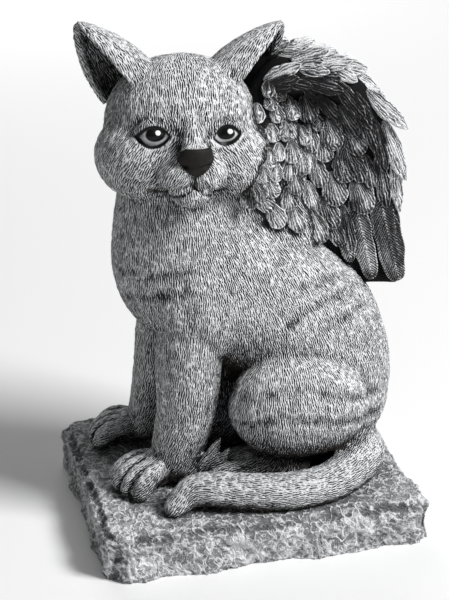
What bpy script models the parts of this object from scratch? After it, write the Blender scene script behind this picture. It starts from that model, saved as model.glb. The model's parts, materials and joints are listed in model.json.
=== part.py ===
"""A winged cat that sits on a rough stone plinth, cast in one piece.

Metres, +Z up. The cat's chest faces -Y and its head is turned to its left, towards +X.
The origin is the centre of the plinth's underside.
"""

import math

import bmesh
import bpy
import numpy as np
from mathutils import Euler, Matrix, Vector, noise
from mathutils.bvhtree import BVHTree

# Driving sizes
PLINTH_LENGTH = 0.205
PLINTH_WIDTH = 0.173
PLINTH_HEIGHT = 0.029
CAT_HEIGHT = 0.290

# The figure's places and radii below are in figure units, with the origin at the middle of
# the plinth's top. One unit is a millimetre at the real size, and it follows the cat's height.
UNITS_TALL = 290
UNIT = CAT_HEIGHT / UNITS_TALL

# How fine the casting is and how soft its joins are, in units, and its triangles
VOXEL = 1.6
BODY_SOFTNESS = 6.0
LIMB_SOFTNESS = 2.2
CARVED_SOFTNESS = 0.8
TRIANGLES = 9700

STONE = (0.36, 0.37, 0.38)

# The plinth's rounded corners and top edge, how rough it is and how wide its lumps are.
# It is modelled deeper than it ends up, and cut off flat.
PLINTH_CORNER = 6
PLINTH_EDGE = 4
PLINTH_TOP_RELIEF = 0.8
PLINTH_SIDE_RELIEF = 4.0
PLINTH_LUMP = 26
BELOW_GROUND = 8

# The trunk from rump to neck: y, z and the radii across, along and up of each mass
TRUNK = (
    (52, 46, 43, 49, 48), (50, 66, 44, 51, 50), (39, 92, 44, 53, 48), (16, 112, 44, 58, 46),
    (-8, 128, 43, 60, 50), (-26, 141, 42, 53, 50), (-32, 160, 40, 47, 44), (-34, 182, 37, 42, 38),
)

# Masses: centre, radii and tilt about X in degrees
SHOULDER = ((24, -27, 128), (21, 32, 44), 8)
BELLY_WEB = ((0, -12, 42), (15, 40, 58), 0)
THIGH = ((37, 30, 53), (27, 46, 36), -6)

# The head's own frame has x towards the nose, y to its left side and z up
HEAD_CENTRE = (8, -37, 229)
HEAD_TURN = (-2, -4, -4)
SKULL = ((-2, 0, 3), (43, 46, 41), 0)
CHEEK = ((8, 25, -14), (31, 28, 26), 0)
MUZZLE = ((27, 0, -16), (20, 24, 17), 0)
BRIDGE = ((31, 0, -1), (15, 11, 17), 0)
NOSE = ((45, 0, -6), (6, 9.5, 7), 0)
WHISKER_PAD = ((37, 9, -19), (12.5, 12, 10.5), 0)
CHIN = ((34, 0, -30), (12, 13, 9.5), 0)
EYEBALL = ((30, 22, 4), (9, 10.5, 8.5), 0)

# Each ear is an open cone. Its opening looks out to the side, half of it that many degrees wide.
EAR_ROOT = (-7, 30, 23)
EAR_LENGTH = 48.5
EAR_RADIUS = 20.5
EAR_WALL = 4.5
EAR_DEPTH_SHARE = 0.8
EAR_TIP_RADIUS = 0.5
EAR_SPLAY = 40
EAR_OPENING_TURN = 57
EAR_OPENING_HALF = 57

# Limbs: x, y, z and radius at each place along them
NEAR_FORELEG = (
    (10, -22, 140, 18), (18, -32, 112, 21), (20, -37, 84, 21), (20, -38.5, 50, 19), (19, -45, 18, 17),
)
FAR_FORELEG = (
    (-10, -28, 140, 18), (-21, -38, 112, 19), (-29, -43, 84, 17), (-34, -46, 50, 15.5),
    (-38, -50, 18, 15),
)
HIND_FOOT = ((34, 26, 12, 13), (31, 0, 12, 13), (29, -8, 11, 12))
TAIL = (
    (6, 77, 12, 15),
    (32, 76, 12, 14),
    (53, 61, 12, 13.5),
    (66, 40, 11, 12.5),
    (70, 16, 11, 12),
    (66, -10, 12, 11.5),
    (59, -32, 13, 11),
    (57, -45, 11.5, 10),
    (61, -56, 4, 7.5),
)

# Paws: middle of the foot, its turn in degrees and its size
PAWS = (
    ((20, -59, 0), 20, 0.95), ((-45, -62, 0), -14, 0.92), ((29, -10, 0), -8, 0.85),
    ((-29, -10, 0), 8, 0.85),
)
TOE_SPREAD = (-12.5, -4.5, 4.5, 12.5)
TOE_REACH = 26
TOE_RADIUS = 7

# Leaves at the foot of the near foreleg: root, tip, width
LEAVES = (
    ((33, -39, -1), (37, -20, 38), 11),
    ((35, -33, -1), (39, -14, 32), 9),
    ((31, -44, -1), (34, -36, 17), 9),
)
LEAF_THICKNESS = 5
LEAF_POINT = 0.9

# The wings, back to back. Outline as y and z, the edge's arm as x, y, z and radius
WING_OUTLINE = (
    (-12, 186), (-2, 222), (8, 250), (22, 265), (38, 266), (54, 261), (68, 255), (80, 244),
    (90, 226), (99, 208), (102, 185), (101, 160), (102, 125), (103, 117), (86, 119), (40, 118),
)
WING_HALF_THICKNESS = 6
WING_ARM = (
    (12, -2, 206, 12), (16, 2, 224, 11), (13, 9, 242, 10), (9, 21, 255, 11),
    (7, 37, 256, 11), (6, 54, 252, 10.5), (6, 69, 243, 10), (5, 81, 229, 9),
    (4, 90, 212, 8), (3, 96, 196, 7), (2, 100, 180, 6),
)
WING_ROOTS = (((6, 0, 200), (24, 42, 50), 0), ((0, 18, 158), (27, 36, 34), 0))
FEATHER_THICKNESS = 4.0
FEATHER_LIFT = 3.5

# Where a feather starts that is rooted beyond the arm's edge
EDGE_X = 7

# The near wing's feathers as read from the side: y and z of the root, of the tip, and width
ARCH_FEATHERS = (
    (10, 256, 33, 265, 10), (14, 266, 34, 274, 10), (23, 267, 49, 264, 12), (28, 266, 52, 271, 10),
    (40, 264, 66, 264, 11), (32, 262, 51, 259, 8), (53, 263, 78, 256, 11), (54, 262, 69, 251, 9),
    (65, 258, 89, 237, 12), (76, 246, 103, 219, 11), (88, 227, 105, 185, 12), (97, 202, 103, 164, 9),
)
UNDER_FEATHERS = (
    (9, 252, 31, 258, 9), (10, 250, 27, 253, 7), (19, 256, 40, 252, 7), (32, 257, 60, 247, 10),
    (35, 261, 58, 255, 8), (34, 253, 51, 240, 8), (54, 255, 75, 229, 10), (44, 246, 62, 227, 9),
    (68, 247, 87, 204, 11), (66, 243, 80, 222, 9), (82, 228, 92, 192, 10),
)
COVERTS = (
    (38, 245, 44, 227, 13), (53, 230, 60, 208, 14), (60, 237, 73, 215, 12), (65, 224, 77, 204, 14),
    (42, 228, 44, 207, 12), (51, 216, 54, 201, 12), (64, 213, 73, 191, 16), (42, 211, 39, 196, 12),
    (26, 220, 26, 207, 12), (25, 211, 23, 197, 11), (47, 204, 51, 185, 12), (61, 205, 69, 187, 14),
    (56, 194, 63, 172, 16), (73, 190, 82, 165, 16), (79, 204, 84, 182, 10), (27, 203, 30, 188, 12),
    (40, 191, 44, 172, 12), (23, 194, 26, 178, 12), (2, 194, 13, 180, 11), (12, 184, 20, 168, 12),
    (27, 182, 32, 163, 12), (41, 175, 50, 152, 12), (56, 168, 65, 145, 11), (52, 180, 61, 157, 12),
    (66, 172, 72, 140, 10), (86, 207, 95, 168, 10), (33, 214, 33, 198, 11), (70, 206, 78, 186, 11),
)
CURLS = (
    (13, 250, 14, 240, 9), (17, 243, 18, 232, 10), (28, 244, 30, 229, 13), (13, 258, 12, 247, 8),
    (20, 254, 20, 245, 8), (32, 232, 31, 223, 8), (47, 231, 49, 221, 8), (14, 232, 13, 221, 10),
    (23, 232, 22, 220, 9), (34, 227, 38, 214, 10), (8, 222, 8, 210, 10), (2, 214, 5, 200, 10),
    (15, 211, 15, 198, 9), (18, 221, 16, 210, 9), (-3, 197, -3, 185, 9), (9, 202, 15, 189, 10),
    (-1, 203, 4, 190, 9), (4, 232, 3, 219, 9), (5, 245, 5, 233, 9),
)
QUILLS = (
    (89, 178, 104, 118, 18), (73, 176, 86, 121, 14), (62, 166, 72, 134, 10), (98, 172, 104, 128, 9),
)

# The tips' shapes: low is round and high is pointed
FEATHERS = (
    (UNDER_FEATHERS, 0.55), (QUILLS, 0.3), (COVERTS, 0.42), (CURLS, 0.42), (ARCH_FEATHERS, 0.65),
)


def smooth_path(knots, steps):
    """Points on the Catmull-Rom curve through the knots, as rows."""
    knots = np.array(knots, float)
    ends = np.vstack([2 * knots[0] - knots[1], knots, 2 * knots[-1] - knots[-2]])
    points = []
    for place in np.linspace(0, len(knots) - 1, steps):
        k = min(int(place), len(knots) - 2)
        t = place - k
        a, b, c, d = ends[k : k + 4]
        bend = t * t * (a - 2.5 * b + 2 * c - 0.5 * d) + t**3 * (1.5 * (b - c) + 0.5 * (d - a))
        points.append(b + 0.5 * t * (c - a) + bend)
    return np.array(points)


def ellipsoid(bm, shape, frame=Matrix(), side=1):
    """Adds an ellipsoid in the given frame, or its mirror image on the other side."""
    (x, y, z), radii, tilt = shape
    centre = (x, side * y, z) if frame != Matrix() else (side * x, y, z)
    place = Matrix.Translation(centre) @ Matrix.Rotation(math.radians(tilt), 4, "X")
    scale = Matrix.Diagonal((*radii, 1))
    bmesh.ops.create_uvsphere(
        bm, u_segments=32, v_segments=20, radius=1, matrix=frame @ place @ scale
    )


def add_object(bm, obj, frame=Matrix()):
    """Adds an object's finished mesh to bm and removes the object."""
    mesh = evaluated(obj)
    mesh.transform(frame)
    bm.from_mesh(mesh)


def limb(bm, knots, steps=14, frame=Matrix()):
    """Adds a round tapering limb along x, y, z and radius knots, with round ends."""
    path = smooth_path(knots, steps)
    data = bpy.data.curves.new("limb", "CURVE")
    data.dimensions = "3D"
    data.bevel_depth = 1
    data.bevel_resolution = 5
    data.use_fill_caps = True
    spline = data.splines.new("POLY")
    spline.points.add(len(path) - 1)
    for point, (x, y, z, radius) in zip(spline.points, path):
        point.co = (x, y, z, 1)
        point.radius = radius
    add_object(bm, bpy.data.objects.new("limb", data), frame)
    for x, y, z, radius in (path[0], path[-1]):
        place = frame @ Matrix.Translation((x, y, z))
        bmesh.ops.create_uvsphere(bm, u_segments=16, v_segments=12, radius=radius, matrix=place)


def evaluated(obj):
    """The object's mesh with its modifiers applied. The object is removed."""
    bpy.context.scene.collection.objects.link(obj)
    graph = bpy.context.evaluated_depsgraph_get()
    mesh = bpy.data.meshes.new_from_object(obj.evaluated_get(graph))
    bpy.data.objects.remove(obj)
    return mesh


def fused(bm, softness, ground=()):
    """One skin round the closed shapes in bm and the ground, with its joins softened."""
    for mesh in ground:
        bm.from_mesh(mesh)
    mesh = bpy.data.meshes.new("masses")
    bm.to_mesh(mesh)
    bm.free()
    obj = bpy.data.objects.new("masses", mesh)
    remesh = obj.modifiers.new("skin", "REMESH")
    remesh.mode = "VOXEL"
    remesh.voxel_size = VOXEL
    smooth = obj.modifiers.new("soften", "SMOOTH")
    smooth.factor = 0.5
    smooth.iterations = max(1, round(2 * (softness / VOXEL) ** 2))
    return evaluated(obj)


def head_frame():
    turn = Euler([math.radians(a) for a in HEAD_TURN], "XYZ")
    return Matrix.Translation(HEAD_CENTRE) @ turn.to_matrix().to_4x4()


def ear(bm, frame, side):
    """Adds a cupped ear: an open cone with a wall, its opening turned to the outside."""
    rings, around = 12, 16
    closed = 180 - EAR_OPENING_HALF
    sheet = bmesh.new()
    rows = []
    for i in range(rings + 1):
        up = i / rings
        radius = EAR_RADIUS * (1 - up**1.9) ** 0.9 + EAR_TIP_RADIUS
        row = []
        for j in range(around + 1):
            angle = math.radians(closed * (2 * j / around - 1))
            across = (-EAR_DEPTH_SHARE * radius * math.cos(angle), radius * math.sin(angle))
            row.append(sheet.verts.new((*across, up * EAR_LENGTH)))
        rows.append(row)
    for lower, upper in zip(rows, rows[1:]):
        for j in range(around):
            sheet.faces.new((lower[j], lower[j + 1], upper[j + 1], upper[j]))
    mesh = bpy.data.meshes.new("ear")
    sheet.to_mesh(mesh)
    sheet.free()
    obj = bpy.data.objects.new("ear", mesh)
    wall = obj.modifiers.new("wall", "SOLIDIFY")
    wall.thickness = EAR_WALL
    wall.offset = 0
    x, y, z = EAR_ROOT
    splay = Matrix.Rotation(math.radians(-EAR_SPLAY * side), 4, "X")
    turn = Matrix.Rotation(math.radians(EAR_OPENING_TURN * side), 4, "Z")
    add_object(bm, obj, frame @ Matrix.Translation((x, side * y, z)) @ splay @ turn)


def blade(bm, root, along, out, length, width, thickness, point=0.5, lift=0.0, rings=7):
    """Adds a feather or leaf: a thin closed blade from its root, with its tip lifted.

    A low point value gives a round tip and a high one a pointed tip.
    """
    along, out = Vector(along).normalized(), Vector(out)
    out = (out - out.dot(along) * along).normalized()
    across = out.cross(along)
    around = 8
    rows = []
    for i in range(1, rings):
        t = i / rings
        half = 0.5 * width * math.sin(math.pi * t**0.8) ** point
        middle = Vector(root) + along * (length * t) + out * (lift * t)
        row = []
        for j in range(around):
            angle = 2 * math.pi * j / around
            offset = across * (half * math.cos(angle))
            offset += out * (0.5 * thickness * min(1, half / thickness) * math.sin(angle))
            row.append(bm.verts.new(middle + offset))
        rows.append(row)
    ends = [bm.verts.new(Vector(root)), bm.verts.new(Vector(root) + along * length + out * lift)]
    for lower, upper in zip(rows, rows[1:]):
        for j in range(around):
            k = (j + 1) % around
            bm.faces.new((lower[j], lower[k], upper[k], upper[j]))
    for j in range(around):
        k = (j + 1) % around
        bm.faces.new((ends[0], rows[0][k], rows[0][j]))
        bm.faces.new((ends[1], rows[-1][j], rows[-1][k]))


def paw(bm, centre, turn, size):
    """Adds a foot with four toes that points towards -Y before its turn."""
    frame = Matrix.Translation(centre) @ Matrix.Rotation(math.radians(turn), 4, "Z")
    frame = frame @ Matrix.Scale(size, 4)
    limb(bm, ((0, 14, 14, 13), (0, 0, 12, 13)), 4, frame)
    for spread in TOE_SPREAD:
        reach = TOE_REACH - abs(spread) * 0.45
        knots = (
            (0.5 * spread, 8, 15, TOE_RADIUS),
            (0.9 * spread, -0.45 * reach, 15, TOE_RADIUS),
            (1.1 * spread, -0.85 * reach, 10, TOE_RADIUS),
            (1.12 * spread, -reach, 6, 0.86 * TOE_RADIUS),
        )
        limb(bm, knots, 8, frame)


def torso():
    """Trunk, shoulders, neck and skull in one soft mass."""
    bm = bmesh.new()
    for y, z, *radii in smooth_path(TRUNK, 22):
        ellipsoid(bm, ((0, y, z), radii, 0))
    ellipsoid(bm, BELLY_WEB)
    head = head_frame()
    ellipsoid(bm, SKULL, head)
    for side in (-1, 1):
        ellipsoid(bm, SHOULDER, side=side)
        ellipsoid(bm, CHEEK, head, side)
    return fused(bm, BODY_SOFTNESS)


def with_limbs(body):
    """Thighs, legs, tail, muzzle, ears and the wings' own mass joined to the torso."""
    bm = bmesh.new()
    head = head_frame()
    for shape in (MUZZLE, BRIDGE, NOSE, CHIN):
        ellipsoid(bm, shape, head)
    for side in (-1, 1):
        ellipsoid(bm, THIGH, side=side)
        for shape in (WHISKER_PAD, EYEBALL):
            ellipsoid(bm, shape, head, side)
        ear(bm, head, side)
        for shape in WING_ROOTS:
            ellipsoid(bm, shape, side=side)
        mirror = Matrix.Diagonal((side, 1, 1, 1))
        limb(bm, HIND_FOOT, frame=mirror)
        limb(bm, WING_ARM, 50, mirror)
    limb(bm, NEAR_FORELEG)
    limb(bm, FAR_FORELEG)
    limb(bm, TAIL, 40)
    wing_web(bm)
    bmesh.ops.recalc_face_normals(bm, faces=bm.faces)
    return fused(bm, LIMB_SOFTNESS, [body])


def wing_web(bm):
    """Adds the plate that both wings share at their backs."""
    data = bpy.data.curves.new("web", "CURVE")
    data.dimensions = "2D"
    data.fill_mode = "BOTH"
    data.extrude = WING_HALF_THICKNESS - 2
    data.bevel_depth = 2
    spline = data.splines.new("POLY")
    spline.use_cyclic_u = True
    spline.points.add(len(WING_OUTLINE) - 1)
    for point, (y, z) in zip(spline.points, WING_OUTLINE):
        point.co = (y, z, 0, 1)
    upright = Matrix(((0, 0, 1, 0), (1, 0, 0, 0), (0, 1, 0, 0), (0, 0, 0, 1)))
    add_object(bm, bpy.data.objects.new("web", data), upright)


def feathers(bm, base):
    """Adds every feather of both wings to the surface of the base, as rays from its side find it."""
    tree = BVHTree.FromBMesh(base)
    places = [(side, place, point) for side in (-1, 1) for rows, point in FEATHERS for place in rows]
    for side, (root_y, root_z, tip_y, tip_z, width), point in places:
        along = Vector((0, tip_y - root_y, tip_z - root_z))
        stations = []
        for t in (0, 0.7):
            spot = Vector((90 * side, root_y, root_z)) + along * t
            hit, normal, _, _ = tree.ray_cast(spot, Vector((-side, 0, 0)))
            stations.append((hit, normal))
        (root, normal), (ahead, ahead_normal) = stations
        if root is None:
            root, normal = Vector((EDGE_X * side, root_y, root_z)), Vector((side, 0, 0))
        elif ahead is not None and abs(ahead.x - root.x) < 0.6 * along.length:
            along = (ahead - root) / 0.7
            normal = (normal + ahead_normal).normalized()
        blade(
            bm, root - normal, along, normal, along.length, width, FEATHER_THICKNESS, point,
            FEATHER_LIFT,
        )


def carved(body):
    """Paws, leaves and feathers joined to the figure."""
    base = bmesh.new()
    base.from_mesh(body)
    bm = bmesh.new()
    for centre, turn, size in PAWS:
        paw(bm, centre, turn, size)
    for root, tip, width in LEAVES:
        along = Vector(tip) - Vector(root)
        blade(bm, root, along, (1, 0, 0.2), along.length, width, LEAF_THICKNESS, LEAF_POINT)
    feathers(bm, base)
    base.free()
    bmesh.ops.recalc_face_normals(bm, faces=bm.faces)
    return fused(bm, CARVED_SOFTNESS, [body])


def plinth(bm):
    """Adds the rough-hewn plinth under the figure, a little deeper than it ends up."""
    size = Vector((PLINTH_WIDTH, PLINTH_LENGTH, PLINTH_HEIGHT)) / UNIT
    block = bmesh.new()
    bmesh.ops.create_cube(block, size=1)
    for vert in block.verts:
        vert.co.z -= 0.5
        vert.co = vert.co * size
        if vert.co.z < -1:
            vert.co.z -= BELOW_GROUND
    upright = [e for e in block.edges if abs(e.verts[0].co.z - e.verts[1].co.z) > 1]
    bmesh.ops.bevel(block, geom=upright, offset=PLINTH_CORNER, segments=3, affect="EDGES")
    rim = [e for e in block.edges if min(v.co.z for v in e.verts) > -1]
    bmesh.ops.bevel(block, geom=rim, offset=PLINTH_EDGE, segments=2, affect="EDGES")
    bmesh.ops.triangulate(block, faces=block.faces)
    mesh = bpy.data.meshes.new("plinth")
    block.to_mesh(mesh)
    block.free()
    obj = bpy.data.objects.new("plinth", mesh)
    grain = obj.modifiers.new("grain", "REMESH")
    grain.mode = "VOXEL"
    grain.voxel_size = 2 * VOXEL
    rough = evaluated(obj)
    for vert in rough.vertices:
        side = 1 - abs(vert.normal.z)
        coarse = noise.fractal(vert.co / PLINTH_LUMP, 1.0, 2.0, 2)
        vert.co += vert.normal * coarse * (PLINTH_TOP_RELIEF + PLINTH_SIDE_RELIEF * side)
    bm.from_mesh(rough)


def cast(figure):
    """Figure and plinth in one skin of the stated number of triangles, cut flat below."""
    bm = bmesh.new()
    plinth(bm)
    whole = fused(bm, 0.5 * CARVED_SOFTNESS, [figure])
    whole.transform(Matrix.Translation((0, 0, PLINTH_HEIGHT)) @ Matrix.Scale(UNIT, 4))
    obj = bpy.data.objects.new("cast", whole)
    thin = obj.modifiers.new("thin", "DECIMATE")
    thin.ratio = TRIANGLES / (2 * len(whole.polygons))
    thin.use_collapse_triangulate = True
    mesh = evaluated(obj)
    bm = bmesh.new()
    bm.from_mesh(mesh)
    everything = bm.verts[:] + bm.edges[:] + bm.faces[:]
    cut = bmesh.ops.bisect_plane(bm, geom=everything, plane_co=(0, 0, 0), plane_no=(0, 0, -1),
                                 clear_outer=True)
    rim = [e for e in cut["geom_cut"] if isinstance(e, bmesh.types.BMEdge)]
    bmesh.ops.contextual_create(bm, geom=rim)
    bmesh.ops.triangulate(bm, faces=[f for f in bm.faces if len(f.verts) > 3])
    bm.to_mesh(mesh)
    bm.free()
    return mesh


def stone():
    material = bpy.data.materials.new("cast_stone")
    material.use_nodes = True
    shader = material.node_tree.nodes["Principled BSDF"]
    shader.inputs["Base Color"].default_value = (*STONE, 1)
    shader.inputs["Roughness"].default_value = 0.9
    return material


def main():
    for old in list(bpy.data.objects):
        bpy.data.objects.remove(old)
    group = bpy.data.collections.new("Winged cat statue")
    bpy.context.scene.collection.children.link(group)
    mesh = cast(carved(with_limbs(torso())))
    mesh.name = "winged_cat_statue"
    mesh.materials.append(stone())
    group.objects.link(bpy.data.objects.new("winged_cat_statue", mesh))


main()
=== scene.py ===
"""A winged cat on a rough stone plinth, cast in one piece, washed dark and brushed pale.

The solid casting is loaded as the frame. The pieces here stand over it and carry what the
solid leaves out: the face, the fur, the feathers and the plinth's crust.
Lengths in the tables are in figure units, one millimetre each, measured from the middle of
the plinth's top. The cat's chest faces -Y and its head is turned towards +X.
"""

import json
import math

import bmesh
import bpy
import numpy as np
from bpy.props import FloatProperty, FloatVectorProperty, IntProperty, PointerProperty
from mathutils import Euler, Matrix, Vector, noise
from mathutils.bvhtree import BVHTree
from mathutils.kdtree import KDTree

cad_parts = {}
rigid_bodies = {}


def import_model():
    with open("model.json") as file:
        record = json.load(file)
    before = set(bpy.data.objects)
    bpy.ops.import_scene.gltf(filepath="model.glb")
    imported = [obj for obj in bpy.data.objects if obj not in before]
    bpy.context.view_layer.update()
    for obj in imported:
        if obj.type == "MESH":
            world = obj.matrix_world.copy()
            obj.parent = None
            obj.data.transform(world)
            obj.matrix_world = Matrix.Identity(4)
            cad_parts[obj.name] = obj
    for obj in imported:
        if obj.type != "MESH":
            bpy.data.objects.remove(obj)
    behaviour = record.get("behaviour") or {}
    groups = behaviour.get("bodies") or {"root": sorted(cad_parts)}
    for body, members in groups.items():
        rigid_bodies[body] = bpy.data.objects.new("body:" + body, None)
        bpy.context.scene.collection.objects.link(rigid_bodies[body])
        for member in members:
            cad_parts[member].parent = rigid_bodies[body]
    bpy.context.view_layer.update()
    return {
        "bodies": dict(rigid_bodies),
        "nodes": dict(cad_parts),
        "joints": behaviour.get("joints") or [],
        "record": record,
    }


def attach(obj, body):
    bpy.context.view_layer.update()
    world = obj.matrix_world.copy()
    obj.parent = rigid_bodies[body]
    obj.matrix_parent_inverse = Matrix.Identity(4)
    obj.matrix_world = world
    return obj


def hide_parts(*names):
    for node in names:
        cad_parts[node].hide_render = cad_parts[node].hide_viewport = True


bl_info = {
    "name": "Winged cat statue",
    "version": (1, 0, 0),
    "blender": (4, 5, 0),
    "location": "3D View > Sidebar > Winged cat",
    "description": "Builds a cast winged cat on its plinth, with carved fur, feathers and crust",
    "category": "Object",
}

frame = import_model()
CASTING = "winged_cat_statue"

PLINTH_LENGTH = 0.205
PLINTH_WIDTH = 0.173
PLINTH_HEIGHT = 0.029
UNIT = 0.001

BODY_SOFTNESS = 6.0
LIMB_SOFTNESS = 2.2
CARVED_SOFTNESS = 0.8
ROUGH_VOXEL = 1.6

PLINTH_CORNER = 6
PLINTH_EDGE = 4
PLINTH_TOP_RELIEF = 0.8
PLINTH_SIDE_RELIEF = 4.0
PLINTH_LUMP = 26
PLINTH_SOFTENING = 8
BELOW_GROUND = 8

# The trunk from rump to neck: y, z and the radii across, along and up of each mass
TRUNK = (
    (52, 46, 43, 49, 48), (50, 66, 44, 51, 50), (39, 92, 44, 53, 48), (16, 112, 44, 58, 46),
    (-8, 128, 43, 60, 50), (-26, 141, 42, 53, 50), (-32, 160, 40, 47, 44), (-34, 182, 37, 42, 38),
)

# Masses: centre, radii and tilt about X in degrees
SHOULDER = ((24, -27, 128), (21, 32, 44), 8)
BELLY_WEB = ((0, -12, 42), (15, 40, 58), 0)
THIGH = ((37, 30, 53), (27, 46, 36), -6)

# The head's own frame has x towards the nose, y to its left side and z up
HEAD_CENTRE = (8, -37, 229)
HEAD_TURN = (-2, -4, -4)
SKULL = ((-2, 0, 3), (43, 46, 41), 0)
CHEEK = ((8, 25, -14), (31, 28, 26), 0)
MUZZLE = ((27, 0, -16), (20, 24, 17), 0)
BRIDGE = ((31, 0, -1), (15, 11, 17), 0)
NOSE = ((45, 0, -6), (6, 9.5, 7), 0)
WHISKER_PAD = ((36, 9, -19), (12.2, 12.2, 10.5), 0)
CHIN = ((34, 0, -30), (12, 13, 9.5), 0)
EYEBALL = ((30, 22, 4), (9, 10.5, 8.5), 0)

EAR_ROOT = (-7, 30, 23)
EAR_LENGTH = 48.5
EAR_RADIUS = 20.5
EAR_WALL = 4.5
EAR_DEPTH_SHARE = 0.8
EAR_TIP_RADIUS = 0.5
EAR_SPLAY = 40
EAR_OPENING_TURN = 57
EAR_OPENING_HALF = 57

# Limbs: x, y, z and radius at each place along them
NEAR_FORELEG = (
    (10, -22, 140, 18), (18, -32, 112, 21), (20, -37, 84, 21), (20, -38.5, 50, 19), (19, -45, 18, 17),
)
FAR_FORELEG = (
    (-10, -28, 140, 18), (-21, -38, 112, 19), (-29, -43, 84, 17), (-34, -46, 50, 15.5),
    (-38, -50, 18, 15),
)
HIND_FOOT = ((34, 26, 12, 13), (31, 0, 12, 13), (29, -8, 11, 12))
TAIL = (
    (6, 77, 12, 15),
    (32, 76, 12, 14),
    (53, 61, 12, 13.5),
    (66, 40, 11, 12.5),
    (70, 16, 11, 12),
    (66, -10, 12, 11.5),
    (59, -32, 13, 11),
    (57, -45, 11.5, 10),
    (61, -56, 4, 7.5),
)

# Paws: middle of the foot, its turn in degrees and its size
PAWS = (
    ((20, -59, 0), 20, 0.95), ((-45, -62, 0), -14, 0.92), ((29, -10, 0), -8, 0.85),
    ((-29, -10, 0), 8, 0.85),
)
TOE_SPREAD = (-12.5, -4.5, 4.5, 12.5)
TOE_REACH = 26
TOE_RADIUS = 7
TOE_GAPS = (-8.6, 0, 8.6)

# Leaves at the foot of the near foreleg: root, tip, width
LEAVES = (
    ((33, -39, -1), (37, -20, 38), 11),
    ((35, -33, -1), (39, -14, 32), 9),
    ((31, -44, -1), (34, -36, 17), 9),
)
LEAF_THICKNESS = 5
LEAF_POINT = 0.9

# The wings, back to back. Outline as y and z, the edge's arm as x, y, z and radius
WING_OUTLINE = (
    (-12, 186), (-2, 222), (8, 250), (22, 265), (38, 266), (54, 261), (68, 255), (80, 244),
    (90, 226), (99, 208), (102, 185), (101, 160), (102, 125), (103, 117), (86, 119), (40, 118),
)
WING_HALF_THICKNESS = 6
WING_ARM = (
    (12, -2, 206, 12), (16, 2, 224, 11), (13, 9, 242, 10), (9, 21, 255, 11),
    (7, 37, 256, 11), (6, 54, 252, 10.5), (6, 69, 243, 10), (5, 81, 229, 9),
    (4, 90, 212, 8), (3, 96, 196, 7), (2, 100, 180, 6),
)
WING_ROOTS = (((6, 0, 200), (24, 42, 50), 0), ((0, 18, 158), (27, 36, 34), 0))
FEATHER_LIFT = 3.5
FEATHERS_FACE_OUT = 1.4

# A feather leans on what lies below it at this share of its length
LEAN_AT = 0.7

# The side feathers under the arch are painted darker, as painted shade and as less pale paint: its y
# and z, how far that reaches and how much
UNDER_ARCH = (38, 240)
UNDER_ARCH_REACH = (24, 16)
UNDER_ARCH_SHADE = 0.9

# Where a feather starts that is rooted beyond the arm's edge
EDGE_X = 7

# The near wing's feathers as read from the side: y and z of the root, of the tip, and width
ARCH_FEATHERS = (
    (10, 256, 33, 265, 10), (14, 266, 34, 274, 10), (23, 267, 49, 264, 12), (28, 266, 52, 271, 10),
    (40, 264, 66, 264, 11), (32, 262, 51, 259, 8), (53, 263, 78, 256, 11), (54, 262, 69, 251, 9),
    (65, 258, 89, 237, 12), (76, 246, 103, 219, 11), (88, 227, 105, 185, 12), (97, 202, 103, 164, 9),
)
UNDER_FEATHERS = (
    (9, 252, 31, 258, 9), (10, 250, 27, 253, 7), (19, 256, 40, 252, 7), (32, 257, 60, 247, 10),
    (35, 261, 58, 255, 8), (34, 253, 51, 240, 8), (54, 255, 75, 229, 10), (44, 246, 62, 227, 9),
    (68, 247, 87, 204, 11), (66, 243, 80, 222, 9), (82, 228, 92, 192, 10),
)
COVERTS = (
    (38, 245, 44, 227, 13), (53, 230, 60, 208, 14), (60, 237, 73, 215, 12), (65, 224, 77, 204, 14),
    (42, 228, 44, 207, 12), (51, 216, 54, 201, 12), (64, 213, 73, 191, 16), (42, 211, 39, 196, 12),
    (26, 220, 26, 207, 12), (25, 211, 23, 197, 11), (47, 204, 51, 185, 12), (61, 205, 69, 187, 14),
    (56, 194, 63, 172, 16), (73, 190, 82, 165, 16), (79, 204, 84, 182, 10), (27, 203, 30, 188, 12),
    (40, 191, 44, 172, 12), (23, 194, 26, 178, 12), (2, 194, 13, 180, 11), (12, 184, 20, 168, 12),
    (27, 182, 32, 163, 12), (41, 175, 50, 152, 12), (56, 168, 65, 145, 11), (52, 180, 61, 157, 12),
    (66, 172, 72, 140, 10), (86, 207, 95, 168, 10), (33, 214, 33, 198, 11), (70, 206, 78, 186, 11),
)
CURLS = (
    (13, 250, 14, 240, 9), (17, 243, 18, 232, 10), (28, 244, 30, 229, 13), (13, 258, 12, 247, 8),
    (20, 254, 20, 245, 8), (32, 232, 31, 223, 8), (47, 231, 49, 221, 8), (14, 232, 13, 221, 10),
    (23, 232, 22, 220, 9), (34, 227, 38, 214, 10), (8, 222, 8, 210, 10), (2, 214, 5, 200, 10),
    (15, 211, 15, 198, 9), (18, 221, 16, 210, 9), (-3, 197, -3, 185, 9), (9, 202, 15, 189, 10),
    (-1, 203, 4, 190, 9), (4, 232, 3, 219, 9), (5, 245, 5, 233, 9),
)
QUILLS = (
    (89, 178, 104, 118, 18), (73, 176, 86, 121, 14), (62, 166, 72, 134, 10), (98, 172, 104, 128, 9),
)

# Each kind's feathers; its tip shape, low is round and high is pointed; where it is widest;
# its ripple; how wide its barbs are; and its pale paint, which also paints light on the arch and shade
# under it
FEATHERS = {
    "under": (UNDER_FEATHERS, 0.55, 1.1, 0.25, 1.5, -0.05),
    "quill": (QUILLS, 0.3, 1.0, 0.2, 2.2, 0.15),
    "covert": (COVERTS, 0.42, 1.35, 0.25, 1.5, 0.25),
    "curl": (CURLS, 0.42, 1.3, 0.8, 1.4, 0.55),
    "arch": (ARCH_FEATHERS, 0.6, 0.95, 0.25, 1.7, 1.0),
}
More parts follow.
